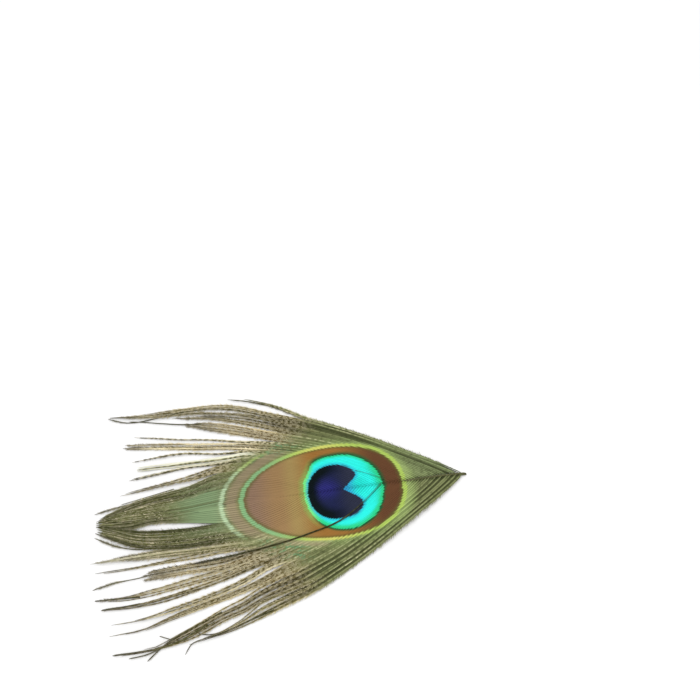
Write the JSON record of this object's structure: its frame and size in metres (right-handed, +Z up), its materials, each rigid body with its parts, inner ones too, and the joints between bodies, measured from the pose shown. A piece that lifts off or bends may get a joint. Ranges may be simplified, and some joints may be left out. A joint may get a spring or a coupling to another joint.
{
  "type": "peacock feather",
  "caption": "Short trimmed eye feather lying flat: a tapering shaft with barbs that hold together round a ringed eye and part into loose locks towards the tip.",
  "frame": {"origin": "middle of the feather's box, on the surface it lies on", "axes": "+X towards the cut end of the shaft, -X towards the tuft, +Z up from the surface, +Y to the upper side of the eye face"},
  "size_m": [0.1116, 0.0792, 0.0021],
  "materials": {
    "shaft": "horn-like, satin, olive-brown with a pale pith at the cut",
    "vane": "fibrous barbs with an iridescent eye of navy, turquoise, bronze and yellow-green rings"
  },
  "bodies": {
    "root": {"shaft": "shaft", "upper_lock_01": "vane", "upper_lock_02": "vane", "upper_lock_03": "vane", "upper_lock_04": "vane", "upper_lock_05": "vane", "upper_lock_06": "vane", "upper_lock_07": "vane", "upper_lock_08": "vane", "upper_lock_09": "vane", "upper_lock_10": "vane", "upper_lock_11": "vane", "upper_lock_12": "vane", "lower_lock_01": "vane", "lower_lock_02": "vane", "lower_lock_03": "vane", "lower_lock_04": "vane", "lower_lock_05": "vane", "lower_lock_06": "vane", "lower_lock_07": "vane", "lower_lock_08": "vane", "lower_lock_09": "vane", "lower_lock_10": "vane", "lower_lock_11": "vane", "lower_lock_12": "vane"}
  },
  "joints": []
}
